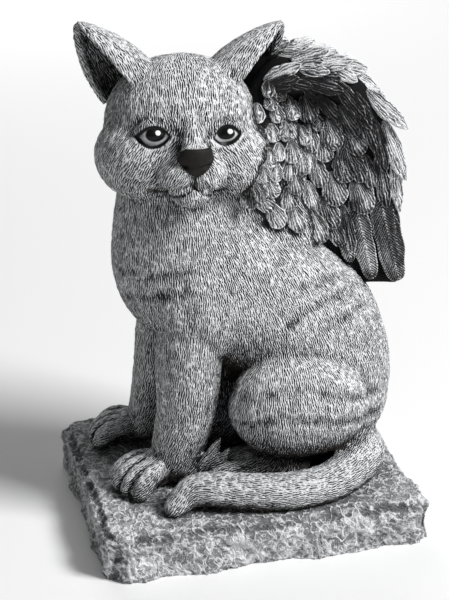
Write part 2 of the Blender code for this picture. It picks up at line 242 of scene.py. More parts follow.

# Each eye: middle y and z, half width, tilt in degrees, rise and drop of its lids;
# its pupil's middle and half axes; its painted highlight
EYES = (
    ((-22.6, 2.4, 9.7, 4, 6.3, 6.3), (-21.6, 4.3, 6.0, 5.0), (-19.8, 5.3)),
    ((20.2, 2.6, 8.3, 8.0, 6.2, 5.4), (19.6, 4.6, 5.4, 4.6), (21.8, 5.5)),
)

# The nose pad's half width at heights down from its top, and its middle's y
NOSE_TOP = -2.0
NOSE_MIDDLE = 1.0
NOSE_DOWN = (0, 2.3, 7.6, 12.3, 14.7, 17.6)
NOSE_HALF_WIDTH = (6.5, 10.0, 10.8, 7.6, 5.0, 0.0)
NOSTRIL = (6.6, -12.6)

# The mouth's line on one side and the groove above it, as y and z
MOUTH = ((0, -25.5), (5.6, -30.4), (13, -33.0), (20.5, -31.5))
PHILTRUM = ((0, -18), (0, -26))

# How deep each part of the face is cut, and how far the eyes and the nose pad stand up
EYE_CUT = 1.5
EYE_SWELL = 1.1
NOSE_SWELL = 1.3
NOSTRIL_CUT = 1.2
LIP_CUT = 1.2
PHILTRUM_CUT = 0.7
MOUTH_CORNER_CUT = 0.8
BROW_CUT = 0.4

# Shallow darker bands in the coat, as y and z on both flanks
BANDS = (
    ((68, 122), (35, 118), (19, 108)), ((72, 112), (55, 107), (40, 100)), ((65, 132), (32, 131)),
    ((-10, 65), (17, 72), (53, 64), (81, 54)), ((-8, 50), (16, 55), (53, 48), (86, 37)),
    ((-78, 145), (-63, 144), (-40, 150)), ((-76, 126), (-62, 130), (-42, 138)),
)
# Dark strokes on the brow, then the line beside the nose that also carries painted shade, as x, y and z
# in the head's frame
BROW_LINES = (
    ((25, 20.6, 28), (34, 12, 19), (40, 5.5, 10)),
    ((37.4, 10.5, 15), (41, 9.5, 6), (43.3, 9.0, -4)),
)

# How the coat lies: a place on the body and its heading there, mirrored to the far side
COAT = (
    ((0, -82, 165), (0, 0, -1)),
    ((38, -45, 160), (0, 0.05, -1)),
    ((40, -12, 160), (0, 0.35, -1)),
    ((43, 20, 128), (0, 0.42, -1)),
    ((44, 50, 105), (0, 0.38, -1)),
    ((25, 76, 118), (0.2, 0.4, -0.9)),
    ((0, 96, 110), (0, 0.45, -0.9)),
    ((0, 106, 50), (0, 0.05, -1)),
    ((0, 55, 150), (0, 0.6, -0.8)),
    ((41, -38, 100), (0, -0.05, -1)),
    ((41, -44, 60), (0, -0.1, -1)),
    ((25, -48, 30), (0, -0.35, -0.9)),
    ((25, -82, 10), (0.1, -1, -0.35)),
    ((56, 20, 84), (0.2, 0.1, -1)),
    ((63, 22, 50), (0, 0.05, -1)),
    ((60, 56, 50), (0, 0.15, -1)),
    ((32, -14, 12), (0, -1, -0.1)),
    ((0, -10, 60), (0, 0, -1)),
)

# Where the coat is shaggy: its middle and how far it reaches
ELBOW = (34, -34, 122)
ELBOW_REACH = (26, 20, 20)

# Where the casting is parted into pieces: the neck's height and the y between front and rear
NECK = 190
WAIST = -4

RANDOM = np.random.default_rng(7)
GRAINS = RANDOM.standard_normal((64, 64, 64))


# Shapes


def smooth_path(knots, steps):
    """Points on the Catmull-Rom curve through the knots, as rows."""
    knots = np.array(knots, float)
    ends = np.vstack([2 * knots[0] - knots[1], knots, 2 * knots[-1] - knots[-2]])
    points = []
    for place in np.linspace(0, len(knots) - 1, steps):
        k = min(int(place), len(knots) - 2)
        t = place - k
        a, b, c, d = ends[k : k + 4]
        bend = t * t * (a - 2.5 * b + 2 * c - 0.5 * d) + t**3 * (1.5 * (b - c) + 0.5 * (d - a))
        points.append(b + 0.5 * t * (c - a) + bend)
    return np.array(points)


def ellipsoid(bm, shape, frame=Matrix(), side=1):
    """Adds an ellipsoid in the given frame, or its mirror image on the other side."""
    (x, y, z), radii, tilt = shape
    centre = (x, side * y, z) if frame != Matrix() else (side * x, y, z)
    place = Matrix.Translation(centre) @ Matrix.Rotation(math.radians(tilt), 4, "X")
    scale = Matrix.Diagonal((*radii, 1))
    bmesh.ops.create_uvsphere(
        bm, u_segments=32, v_segments=20, radius=1, matrix=frame @ place @ scale
    )


def evaluated(obj):
    """The object's mesh with its modifiers applied. The object is removed."""
    bpy.context.scene.collection.objects.link(obj)
    graph = bpy.context.evaluated_depsgraph_get()
    mesh = bpy.data.meshes.new_from_object(obj.evaluated_get(graph))
    bpy.data.objects.remove(obj)
    return mesh


def add_object(bm, obj, frame=Matrix()):
    """Adds an object's finished mesh to bm and removes the object."""
    mesh = evaluated(obj)
    mesh.transform(frame)
    bm.from_mesh(mesh)


def limb(bm, knots, steps=14, frame=Matrix()):
    """Adds a round tapering limb along x, y, z and radius knots, with round ends."""
    path = smooth_path(knots, steps)
    data = bpy.data.curves.new("limb", "CURVE")
    data.dimensions = "3D"
    data.bevel_depth = 1
    data.bevel_resolution = 5
    data.use_fill_caps = True
    spline = data.splines.new("POLY")
    spline.points.add(len(path) - 1)
    for point, (x, y, z, radius) in zip(spline.points, path):
        point.co = (x, y, z, 1)
        point.radius = radius
    add_object(bm, bpy.data.objects.new("limb", data), frame)
    for x, y, z, radius in (path[0], path[-1]):
        place = frame @ Matrix.Translation((x, y, z))
        bmesh.ops.create_uvsphere(bm, u_segments=16, v_segments=12, radius=radius, matrix=place)


def skinned(mesh, voxel, rounds):
    """The mesh remade in small even faces and softened."""
    obj = bpy.data.objects.new(mesh.name, mesh)
    remesh = obj.modifiers.new("skin", "REMESH")
    remesh.mode = "VOXEL"
    remesh.voxel_size = voxel
    smooth = obj.modifiers.new("soften", "SMOOTH")
    smooth.factor = 0.5
    smooth.iterations = rounds
    return evaluated(obj)


def fused(bm, softness, voxel, ground=()):
    """One skin round the closed shapes in bm and the ground, with its joins softened."""
    bmesh.ops.recalc_face_normals(bm, faces=bm.faces)
    for mesh in ground:
        bm.from_mesh(mesh)
    mesh = bpy.data.meshes.new("masses")
    bm.to_mesh(mesh)
    bm.free()
    return skinned(mesh, voxel, max(1, round(2 * (softness / voxel) ** 2)))


def parted(mesh, at, towards):
    """The closed part of a mesh on one side of a plane."""
    bm = bmesh.new()
    bm.from_mesh(mesh)
    everything = bm.verts[:] + bm.edges[:] + bm.faces[:]
    cut = bmesh.ops.bisect_plane(bm, geom=everything, plane_co=at, plane_no=towards, clear_inner=True)
    rim = [e for e in cut["geom_cut"] if isinstance(e, bmesh.types.BMEdge)]
    bmesh.ops.holes_fill(bm, edges=rim, sides=0)
    part = bpy.data.meshes.new("part")
    bm.to_mesh(part)
    bm.free()
    return part


def head_frame():
    turn = Euler([math.radians(a) for a in HEAD_TURN], "XYZ")
    return Matrix.Translation(HEAD_CENTRE) @ turn.to_matrix().to_4x4()


def ear(bm, frame, side):
    """Adds a cupped ear: an open cone with a wall, its opening turned to the outside."""
    rings, around = 24, 32
    closed = 180 - EAR_OPENING_HALF
    sheet = bmesh.new()
    rows = []
    for i in range(rings + 1):
        up = i / rings
        radius = EAR_RADIUS * (1 - up**1.9) ** 0.9 + EAR_TIP_RADIUS
        row = []
        for j in range(around + 1):
            angle = math.radians(closed * (2 * j / around - 1))
            across = (-EAR_DEPTH_SHARE * radius * math.cos(angle), radius * math.sin(angle))
            row.append(sheet.verts.new((*across, up * EAR_LENGTH)))
        rows.append(row)
    for lower, upper in zip(rows, rows[1:]):
        for j in range(around):
            sheet.faces.new((lower[j], lower[j + 1], upper[j + 1], upper[j]))
    mesh = bpy.data.meshes.new("ear")
    sheet.to_mesh(mesh)
    sheet.free()
    obj = bpy.data.objects.new("ear", mesh)
    wall = obj.modifiers.new("wall", "SOLIDIFY")
    wall.thickness = EAR_WALL
    wall.offset = 0
    x, y, z = EAR_ROOT
    splay = Matrix.Rotation(math.radians(-EAR_SPLAY * side), 4, "X")
    turn = Matrix.Rotation(math.radians(EAR_OPENING_TURN * side), 4, "Z")
    add_object(bm, obj, frame @ Matrix.Translation((x, side * y, z)) @ splay @ turn)


def leaf(bm, root, tip, width):
    """Adds a thin closed leaf from its root to its tip."""
    along = Vector(tip) - Vector(root)
    length = along.length
    along.normalize()
    out = Vector((1, 0, 0.2))
    out = (out - out.dot(along) * along).normalized()
    across = out.cross(along)
    rings, around = 14, 12
    rows = []
    for i in range(1, rings):
        t = i / rings
        half = 0.5 * width * math.sin(math.pi * t**0.8) ** LEAF_POINT
        middle = Vector(root) + along * (length * t)
        row = []
        for j in range(around):
            angle = 2 * math.pi * j / around
            offset = across * (half * math.cos(angle))
            offset += out * (0.5 * LEAF_THICKNESS * min(1, half / LEAF_THICKNESS) * math.sin(angle))
            row.append(bm.verts.new(middle + offset))
        rows.append(row)
    ends = [bm.verts.new(Vector(root)), bm.verts.new(Vector(tip))]
    for lower, upper in zip(rows, rows[1:]):
        for j in range(around):
            k = (j + 1) % around
            bm.faces.new((lower[j], lower[k], upper[k], upper[j]))
    for j in range(around):
        k = (j + 1) % around
        bm.faces.new((ends[0], rows[0][k], rows[0][j]))
        bm.faces.new((ends[1], rows[-1][j], rows[-1][k]))


def paw(bm, centre, turn, size):
    """Adds a foot with four toes that points towards -Y before its turn."""
    frame = Matrix.Translation(centre) @ Matrix.Rotation(math.radians(turn), 4, "Z")
    frame = frame @ Matrix.Scale(size, 4)
    limb(bm, ((0, 14, 14, 13), (0, 0, 12, 13)), 4, frame)
    for spread in TOE_SPREAD:
        reach = TOE_REACH - abs(spread) * 0.45
        knots = (
            (0.5 * spread, 8, 15, TOE_RADIUS),
            (0.9 * spread, -0.45 * reach, 15, TOE_RADIUS),
            (1.1 * spread, -0.85 * reach, 10, TOE_RADIUS),
            (1.12 * spread, -reach, 6, 0.86 * TOE_RADIUS),
        )
        limb(bm, knots, 8, frame)


def torso():
    """Trunk, shoulders, neck and skull in one soft mass."""
    bm = bmesh.new()
    for y, z, *radii in smooth_path(TRUNK, 22):
        ellipsoid(bm, ((0, y, z), radii, 0))
    ellipsoid(bm, BELLY_WEB)
    head = head_frame()
    ellipsoid(bm, SKULL, head)
    for side in (-1, 1):
        ellipsoid(bm, SHOULDER, side=side)
        ellipsoid(bm, CHEEK, head, side)
    return fused(bm, BODY_SOFTNESS, ROUGH_VOXEL)


def wing_roots(bm):
    for side in (-1, 1):
        for shape in WING_ROOTS:
            ellipsoid(bm, shape, side=side)


def head_skin(body, voxel):
    """The head's skin, closed at the neck."""
    bm = bmesh.new()
    head = head_frame()
    for shape in (MUZZLE, BRIDGE, NOSE, CHIN):
        ellipsoid(bm, shape, head)
    for side in (-1, 1):
        for shape in (WHISKER_PAD, EYEBALL):
            ellipsoid(bm, shape, head, side)
        ear(bm, head, side)
    wing_roots(bm)
    whole = fused(bm, LIMB_SOFTNESS, voxel, [parted(body, (0, 0, NECK - 25), (0, 0, 1))])
    return parted(whole, (0, 0, NECK), (0, 0, 1))


def body_skin(body, voxel):
    """The body's skin with legs, tail, paws and leaves, closed at the neck."""
    bm = bmesh.new()
    for side in (-1, 1):
        ellipsoid(bm, THIGH, side=side)
        limb(bm, HIND_FOOT, frame=Matrix.Diagonal((side, 1, 1, 1)))
    wing_roots(bm)
    limb(bm, NEAR_FORELEG)
    limb(bm, FAR_FORELEG)
    limb(bm, TAIL, 40)
    legged = fused(bm, LIMB_SOFTNESS, 1.2 * voxel, [body])
    bm = bmesh.new()
    for centre, turn, size in PAWS:
        paw(bm, centre, turn, size)
    for root, tip, width in LEAVES:
        leaf(bm, root, tip, width)
    return parted(fused(bm, CARVED_SOFTNESS, voxel, [legged]), (0, 0, NECK), (0, 0, -1))


def wing_core_skin(voxel):
    """The plate that both wings share and the arms along its edge."""
    bm = bmesh.new()
    data = bpy.data.curves.new("web", "CURVE")
    data.dimensions = "2D"
    data.fill_mode = "BOTH"
    data.extrude = WING_HALF_THICKNESS - 2
    data.bevel_depth = 2
    spline = data.splines.new("POLY")
    spline.use_cyclic_u = True
    spline.points.add(len(WING_OUTLINE) - 1)
    for point, (y, z) in zip(spline.points, WING_OUTLINE):
        point.co = (y, z, 0, 1)
    upright = Matrix(((0, 0, 1, 0), (1, 0, 0, 0), (0, 1, 0, 0), (0, 0, 0, 1)))
    add_object(bm, bpy.data.objects.new("web", data), upright)
    for side in (-1, 1):
        limb(bm, WING_ARM, 50, Matrix.Diagonal((side, 1, 1, 1)))
    return fused(bm, LIMB_SOFTNESS, voxel)


# Fields over a mesh


def read(rows, name, width=3):
    """One property of every vertex, edge or face, as an array."""
    flat = np.empty(width * len(rows), int if name == "vertices" else np.float32)
    rows.foreach_get(name, flat)
    return flat.reshape(-1, width)


def surface_of(mesh):
    """The place and the normal of every vertex."""
    return read(mesh.vertices, "co"), read(mesh.vertices, "normal")


def move_to(mesh, points):
    mesh.vertices.foreach_set("co", points.astype(np.float32).ravel())
    mesh.update()


def keep_field(mesh, name, values):
    """Stores a number or a vector for every vertex, for the finish to read."""
    vector = values.ndim == 2
    field = mesh.attributes.new(name, "FLOAT_VECTOR" if vector else "FLOAT", "POINT")
    field.data.foreach_set("vector" if vector else "value", values.astype(np.float32).ravel())


def ramp(values, low, high):
    """Rises smoothly from 0 at low to 1 at high."""
    t = np.clip((values - low) / (high - low), 0, 1)
    return t * t * (3 - 2 * t)


def bell(values, width):
    return np.exp(-((values / width) ** 2))


def unit(vectors):
    return vectors / np.maximum(np.linalg.norm(vectors, axis=1, keepdims=True), 1e-9)


def grain(points, size):
    """Smooth random numbers in space, with lumps of the given size."""
    place = points / size
    low = np.floor(place).astype(int)
    share = place - low
    share = share * share * (3 - 2 * share)
    total = 0
    for corner in range(8):
        step = np.array([corner >> k & 1 for k in range(3)])
        weight = np.prod(np.where(step, share, 1 - share), axis=1)
        x, y, z = ((low + step) % len(GRAINS)).T
        total = total + weight * GRAINS[x, y, z]
    return total


def streaks(points, heading, width, length):
    """Random streaks along the heading, about even around 0 with a spread of 1."""
    steps = np.linspace(-0.5, 0.5, 9)
    total = sum(grain(points + heading * (length * s), width) for s in steps)
    return total / total.std()


def to_line(points, knots):
    """How far each point lies from a line through the knots."""
    knots = np.array(knots, float)
    best = np.full(len(points), 1e9)
    for a, b in zip(knots, knots[1:]):
        share = np.clip((points - a) @ (b - a) / ((b - a) @ (b - a)), 0, 1)
        best = np.minimum(best, np.linalg.norm(points - a - share[:, None] * (b - a), axis=1))
    return best


def dips(mesh, points, normals, rounds):
    """How far each vertex lies below its smoothed surroundings."""
    a, b = read(mesh.edges, "vertices", 2).T
    count = np.bincount(a, minlength=len(points)) + np.bincount(b, minlength=len(points))
    soft = points.copy()
    for _ in range(rounds):
        for k in range(3):
            column = soft[:, k]
            total = np.bincount(a, column[b], len(points)) + np.bincount(b, column[a], len(points))
            soft[:, k] = 0.4 * column + 0.6 * total / count
    return ((soft - points) * normals).sum(1)


def tree_of(mesh):
    """The mesh as a tree for rays to meet."""
    bm = bmesh.new()
    bm.from_mesh(mesh)
    tree = BVHTree.FromBMesh(bm)
    bm.free()
    return tree


def casting_tree():
    """The solid casting, in figure units, for rays to meet."""
    mesh = frame["nodes"][CASTING].data
    points = (read(mesh.vertices, "co") - (0, 0, PLINTH_HEIGHT)) / UNIT
    faces = [tuple(face.vertices) for face in mesh.polygons]
    return BVHTree.FromPolygons([Vector(p) for p in points], faces)


def hollows(points, normals, tree, grid=3.0, reach=45.0, clear=1.4):
    """How much of the open air above each vertex is closed off by the casting, 0 to 1."""
    cells = np.floor(points / grid).astype(int)
    _, chosen = np.unique(cells, axis=0, return_index=True)
    turns = np.arange(40) * math.pi * (3 - math.sqrt(5))
    rise = np.linspace(-0.975, 0.975, 40)
    level = np.sqrt(1 - rise * rise)
    rays = [Vector(r) for r in zip(level * np.cos(turns), level * np.sin(turns), rise)]
    places = KDTree(len(chosen))
    shares = np.empty(len(chosen))
    for k, index in enumerate(chosen):
        normal = Vector(normals[index])
        start = Vector(points[index]) + normal * clear
        places.insert(points[index], k)
        open_air = closed = 0
        for ray in rays:
            lean = ray.dot(normal)
            if lean > 0.12:
                open_air += lean
                far = tree.ray_cast(start, ray, reach)[3]
                if far is not None:
                    closed += lean * (1 - far / reach)
        shares[k] = closed / open_air
    places.balance()
    near = [places.find_n(p, 5) for p in points]
    index = np.array([[row[1] for row in rows] for rows in near])
    far = np.array([[row[2] for row in rows] for rows in near])
    agree = (normals[chosen][index] * normals[:, None]).sum(2)
    weight = np.maximum(agree, 0.02) / (far + 0.6)
    return (shares[index] * weight).sum(1) / weight.sum(1)


def coat_heading(points, normals):
    """The way the coat lies at each point of the body, within the surface."""
    side = np.sign(points[:, :1] + 1e-6)
    folded = points * np.hstack([side, np.ones((len(points), 2))])
    heading = np.zeros_like(points)
    for place, way in COAT:
        far = np.linalg.norm(folded - place, axis=1)
        heading += unit(np.array([way], float)) / (far[:, None] ** 2 + 60) ** 1.5
    heading[:, :1] *= side
    heading = unit(heading)
    path = smooth_path(TAIL, 60)
    gaps = np.linalg.norm(points[:, None, :] - path[None, :, :3], axis=2)
    nearest = gaps.argmin(1)
    ways = unit(np.gradient(path[:, :3], axis=0))[nearest]
    on_tail = 1 - ramp(gaps.min(1) - path[nearest, 3], 0.5, 4.0)
    heading = heading * (1 - on_tail[:, None]) + ways * on_tail[:, None]
    return along_surface(heading, normals)


def along_surface(heading, normals):
    return unit(heading - (heading * normals).sum(1, keepdims=True) * normals)


def into_head(points):
    inverse = np.array(head_frame().inverted())
    return points @ inverse[:3, :3].T + inverse[:3, 3]


def carve_face(mesh):
    """Cuts eyes, nose, mouth and brow lines into the head and keeps their fields."""
    points, normals = surface_of(mesh)
    x, y, z = into_head(points).T
    front = ramp(x, 12, 20)
    push = np.zeros(len(points))
    lid = np.full(len(points), -20.0)
    pupil = np.full(len(points), 9.0)
    glint = np.full(len(points), 9.0)
    socket = np.zeros(len(points))
    for (y0, z0, half, tilt, rise, drop), (py, pz, pa, pb), (gy, gz) in EYES:
        turn = math.radians(tilt)
        u = (y - y0) * math.cos(turn) + (z - z0) * math.sin(turn)
        v = (z - z0) * math.cos(turn) - (y - y0) * math.sin(turn)
        high = np.where(v > 0, rise, drop)
        level = 1 - np.abs(v) / high - (np.abs(u) / half) ** 2.3
        slope = 2.3 * np.abs(u) ** 1.3 / half**2.3
        inside = level / np.sqrt(slope**2 + (1 / high) ** 2)
        near = (np.abs(u) < half + 9) & (np.abs(v) < 16) & (x > 12)
        inside = np.where(near, inside, -20)
        push += ramp(inside, -0.3, 1.2) * (-EYE_CUT + EYE_SWELL * ramp(level, 0, 0.9))
        push += 0.5 * bell(inside + 1.5, 1.0) * (v < 0)
        push += 0.5 * bell(inside + 1.3, 1.0) * (v > 0)
        push -= 0.6 * bell(inside + 3.6, 1.2) * (v > 0)
        # Painted shade under the brow above each eye; below the eye the raised rim of the lid is left
        # paler.
        socket += bell(inside + 1.4, 2.4) * (v > 0) * 0.7 * near
        socket -= bell(inside + 1.7, 0.9) * (v <= 0) * 0.9 * near
        lid = np.maximum(lid, inside)
        pupil = np.where(near, np.minimum(pupil, np.hypot((y - py) / pa, (z - pz) / pb)), pupil)
        glint = np.where(near, np.minimum(glint, np.hypot(y - gy, z - gz)), glint)
    down = NOSE_TOP - z
    half = np.interp(down, NOSE_DOWN, NOSE_HALF_WIDTH)
    across = np.abs(y - NOSE_MIDDLE * ramp(x, 20, 40))
    pad = np.minimum(np.minimum(half - across, down), NOSE_DOWN[-1] - down)
    pad = np.where(x > 30, pad, -20)
    push += NOSE_SWELL * ramp(pad, -0.4, 1.1)
    nostril = np.hypot((across - NOSTRIL[0]) / 1.8, (z - NOSTRIL[1]) / 1.3)
    push -= NOSTRIL_CUT * bell(nostril, 1.0) * front
    sheet = np.column_stack([np.abs(y - 0.5), z])
    lips = to_line(sheet, MOUTH)
    groove = to_line(sheet, PHILTRUM)
    corner = np.hypot(np.abs(y) - MOUTH[-1][0], z - MOUTH[-1][1])
    cuts = LIP_CUT * bell(lips, 1.0) + PHILTRUM_CUT * bell(groove, 0.9)
    push -= (cuts + MOUTH_CORNER_CUT * bell(corner, 2.6)) * front
    folded = np.column_stack([x, np.abs(y), z])
    brow = bell(to_line(folded, BROW_LINES[0]), 1.6)
    # The line beside the nose is painted darker on the cat's right side, away from the light, as
    # painted shade.
    bridge = bell(to_line(folded, BROW_LINES[1]), 4.6) * np.where(y < 0, 1.0, 0.3)
    push -= BROW_CUT * brow + BROW_CUT * bridge
    move_to(mesh, points + normals * push[:, None])
    keep_field(mesh, "lid", lid)
    keep_field(mesh, "pupil", pupil)
    keep_field(mesh, "glint", glint)
    keep_field(mesh, "nose", pad)
    keep_field(mesh, "nostril", bell(nostril, 1.4) * front)
    # Dark wash in the mouth's line and corners; the wider darkening round the corners is also painted
    # shade under the whisker pads.
    dark = np.maximum(0.75 * bell(lips, 1.0) * front, 0.45 * bell(corner, 3.0) * front)
    dark = np.maximum(dark, 0.5 * brow)
    dark = np.maximum(dark, 0.6 * bridge)
    # Painted light: the front of the forehead is painted paler towards the lit side.
    dark -= 0.4 * bell(np.hypot(y - 5, z - 22), 18) * front
    dark = np.maximum(dark, 0.5 * bell(groove, 0.9) * front) + socket
    bare = np.maximum(ramp(lid, -1.6, -0.4), ramp(pad, -1.2, 0.0))
    return dark, bare


def carve_coat(mesh, heading, bare, dark, depth, tree, voxel):
    """Cuts fur strokes into a skin and keeps what its finish reads."""
    points, normals = surface_of(mesh)
    hair = streaks(points, heading, 0.9, 2.4)
    tuft = streaks(points, heading, 2.4, 5.0)
    shag = streaks(points, heading, 5.0, 12.0)
    # Painted shade: the hollow field darkens the coat where the casting closes in over it,
    # as dark wash pooled in recesses and as painted shade under the body and between the legs.
    hollow = hollows(points, normals, tree)
    # Faces turned down are painted darker and faces turned up paler: painted shade and painted light,
    # and also where the dry brush reaches.
    low = 0.3 * ramp(-normals[:, 2], 0.0, 0.8) - 0.25 * ramp(normals[:, 2], 0.2, 0.9)
    hollow = hollow + low * (1 - bare)
    ridge = -dips(mesh, points, normals, round(18 / voxel**2))
    elbow = bell(np.linalg.norm((points - ELBOW) / ELBOW_REACH, axis=1), 1.0)
    relief = depth * (0.9 * np.clip(hair, -2, 2) + 0.5 * np.clip(tuft, -2, 2))
    relief += (0.12 + 0.75 * elbow) * np.clip(shag, -1.6, 1.6)
    move_to(mesh, points + normals * (relief * (1 - bare))[:, None])
    keep_field(mesh, "hair", hair * (1 - bare))
    keep_field(mesh, "tuft", tuft * (1 - bare))
    keep_field(mesh, "hollow", hollow)
    keep_field(mesh, "ridge", np.clip(ridge, -1.6, 0.5))
    keep_field(mesh, "dark", dark)
    keep_field(mesh, "comb", unit(np.cross(normals, heading)))


def carve_toes(mesh):
    """Cuts the grooves between the toes and says where they are."""
    points, normals = surface_of(mesh)
    groove = np.zeros(len(points))
    for centre, turn, size in PAWS:
        angle = math.radians(turn)
        x, y, z = ((points - centre) / size).T
        across = x * math.cos(angle) + y * math.sin(angle)
        ahead = x * math.sin(angle) - y * math.cos(angle)
        fan = 1 + 0.005 * ahead
        line = np.min([np.abs(across - spread * fan) for spread in TOE_GAPS], axis=0)
        on_toes = ramp(ahead, 1, 8) * ramp(-ahead, -31, -27) * ramp(z, 1, 4) * ramp(-z, -26, -23)
        groove = np.maximum(groove, bell(line, 1.0) * on_toes * (np.abs(across) < 17))
    move_to(mesh, points - normals * groove[:, None])
    return groove


def carve_bands(mesh):
    """Presses the coat's bands into the body and says where they are."""
    points, normals = surface_of(mesh)
    sheet = points[:, 1:]
    band = np.zeros(len(points))
    for line in BANDS:
        band = np.maximum(band, bell(to_line(sheet, smooth_path(line, 12)), 3.4))
    band *= ramp(np.abs(points[:, 0]), 4, 14)
    move_to(mesh, points - normals * (1.0 * band)[:, None])
    return 0.6 * band * ramp(grain(points, 7.0), -0.9, 0.5)


def stand(mesh, name, finish, *replaced):
    """Puts a mesh in figure units into the scene as one piece of the casting."""
    mesh.name = name
    mesh.transform(Matrix.Translation((0, 0, PLINTH_HEIGHT)) @ Matrix.Scale(UNIT, 4))
    mesh.materials.clear()
    mesh.materials.append(finish)
    mesh.polygons.foreach_set("use_smooth", np.ones(len(mesh.polygons), bool))
    obj = bpy.data.objects.new(name, mesh)
    bpy.context.scene.collection.objects.link(obj)
    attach(obj, "root")
    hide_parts(*replaced)
    return obj


# Feathers


def outermost(trees, spot, side):
    """The outermost place that a ray inwards from the spot meets, and its normal."""
    hits = [tree.ray_cast(spot, Vector((-side, 0, 0)))[:2] for tree in trees]
    hits = [hit for hit in hits if hit[0] is not None]
    return max(hits, key=lambda hit: side * hit[0].x) if hits else (None, None)


def barbs(kind, side, reach, length):
    """Counts the barbs across a feather: whole numbers are the ridges."""
    if kind == "quill":
        return reach - 1.3 * np.abs(side)
    if kind in ("arch", "under"):
        return np.arctan2(side, reach + 0.9 * length) * 1.5 * length
    return np.arctan2(side, reach + 0.25 * length) * 0.8 * length


def feather(root, along, out, length, width, kind, rows, columns, seed):
    """One closed feather: its points, its faces and each point's vane, rim and length."""
    point, widest, ripple, pitch = FEATHERS[kind][1:5]
    along = along.normalized()
    out = (out - out.dot(along) * along).normalized()
    across = np.array(out.cross(along))
    along, out, root = np.array(along), np.array(out), np.array(root)
    t = 0.03 + 0.967 * (1 - (1 - np.linspace(0, 1, rows - 1)) ** 1.5)
    t = np.append(t, t[-1])[:, None]
    s = np.linspace(-1, 1, columns - 2)
    s = np.concatenate([[-1], np.sign(s) * (1 - (1 - np.abs(s)) ** 1.15), [1]])[None, :]
    half = 0.5 * width * np.sin(math.pi * t**widest) ** point
    notch = 1 + 0.06 * np.sin(11 * t + 3 * seed) * np.sign(s) + 0.04 * np.sin(23 * t + seed)
    side = half * s * notch
    reach = length * t * np.ones_like(s)
    spots = root + reach[..., None] * along + side[..., None] * across
    vane = barbs(kind, side, reach, length) / pitch
    vane = vane + ripple * grain(spots.reshape(-1, 3) + 37 * seed, 3.0).reshape(vane.shape)
    ridges = 1 - 2 * np.abs(np.sin(math.pi * vane)) ** 0.8
    shaft = bell(side, 0.8) * (1 - t) ** 0.4
    inside = np.minimum((1 - np.abs(s)) * half, length * (1 - t))
    dome = np.sqrt(np.clip(1 - s * s, 0, 1)) * min(1.6, 0.12 * width)
    dome = dome * np.sqrt(np.clip((1 - t) * 4, 0, 1))
    lift = FEATHER_LIFT * t**1.2 + 0.6
    relief = (0.4 * ridges + 0.7 * shaft) * ramp(inside, 0, 0.9) + 0.4 * bell(inside - 0.7, 0.6)
    high = lift + dome + relief
    high[:, [0, -1]] = (lift - 1.9)[:, :1]
    high[-1] = high[-2] - 2.1
    spots = spots + high[..., None] * out
    index = np.arange(rows * columns).reshape(rows, columns)
    a, b = index[:-1, :-1].ravel(), index[:-1, 1:].ravel()
    c, d = index[1:, 1:].ravel(), index[1:, :-1].ravel()
    faces = np.column_stack([a, b, c, d]).tolist()
    faces += [(index[i, -1], index[i, 0], index[i + 1, 0], index[i + 1, -1]) for i in range(rows - 1)]
    faces += [index[0, ::-1].tolist(), index[-1].tolist()]
    rim = np.maximum(1 - ramp(inside, 0.3, 1.5), 0.8 * shaft)
    fields = np.column_stack([vane.ravel(), rim.ravel(), (t + 0 * s).ravel()])
    return spots.reshape(-1, 3), faces, fields


def paint_shade_near_feathers(mesh, feathered):
    """Paints shade on the fur that shows between the feathers and close beside them."""
    places = KDTree(len(feathered))
    for k, place in enumerate(feathered):
        places.insert(place, k)
    places.balance()
    field = mesh.attributes["dark"].data
    dark = np.empty(len(field), np.float32)
    field.foreach_get("value", dark)
    low, high = feathered.min(0) - 6 * UNIT, feathered.max(0) + 6 * UNIT
    points = read(mesh.vertices, "co")
    for k in np.flatnonzero(((points > low) & (points < high)).all(1)):
        far = places.find(points[k])[2] / UNIT
        dark[k] = max(dark[k], 2.2 - 0.5 * far)
    field.foreach_set("value", dark)


def wing_mesh(trees, wing, rows, columns):
    """All feathers of one wing, on side 1 or -1, laid on what their places meet below."""
    points, faces, fields, brush, shaded = [], [], [], [], []
    first = 0
    places = [(kind, row) for kind, group in FEATHERS.items() for row in group[0]]
    for seed, (kind, (root_y, root_z, tip_y, tip_z, width)) in enumerate(places):
        along = Vector((0, tip_y - root_y, tip_z - root_z))
        spot = Vector((120 * wing, root_y, root_z))
        root, normal = outermost(trees, spot, wing)
        ahead, ahead_normal = outermost(trees, spot + along * LEAN_AT, wing)
        if root is None:
            root, normal = Vector((EDGE_X * wing, root_y, root_z)), Vector((wing, 0, 0))
        elif ahead is not None and abs(ahead.x - root.x) < 0.6 * along.length:
            along = (ahead - root) / LEAN_AT
            normal = (normal + ahead_normal).normalized()
        normal = (normal + Vector((FEATHERS_FACE_OUT * wing, 0, 0))).normalized()
        long = rows * 2 if kind == "quill" else rows
        made = feather(root - normal, along, normal, along.length, width, kind, long, columns, seed)
        points.append(made[0])
        faces += [[k + first for k in face] for face in made[1]]
        fields.append(made[2])
        brush.append(np.full(len(made[0]), FEATHERS[kind][5]))
        shaded.append(np.full(len(made[0]), kind != "arch"))
        first += len(made[0])
    mesh = bpy.data.meshes.new("wing")
    mesh.from_pydata(np.vstack(points).tolist(), [], faces)
    vane, rim, length = np.vstack(fields).T
    place = np.vstack(points)
    # Painted shade under the arch, on all but the arch feathers.
    (y, z), (wide, high) = UNDER_ARCH, UNDER_ARCH_REACH
    under_arch = bell(place[:, 1] - y, wide) * bell(place[:, 2] - z, high)
    paint = np.concatenate(brush) - UNDER_ARCH_SHADE * under_arch * np.concatenate(shaded)
    for name, values in (("vane", vane), ("rim", rim), ("length", length), ("brush", paint)):
        keep_field(mesh, name, values)
    mesh.update()
    return mesh


# Plinth


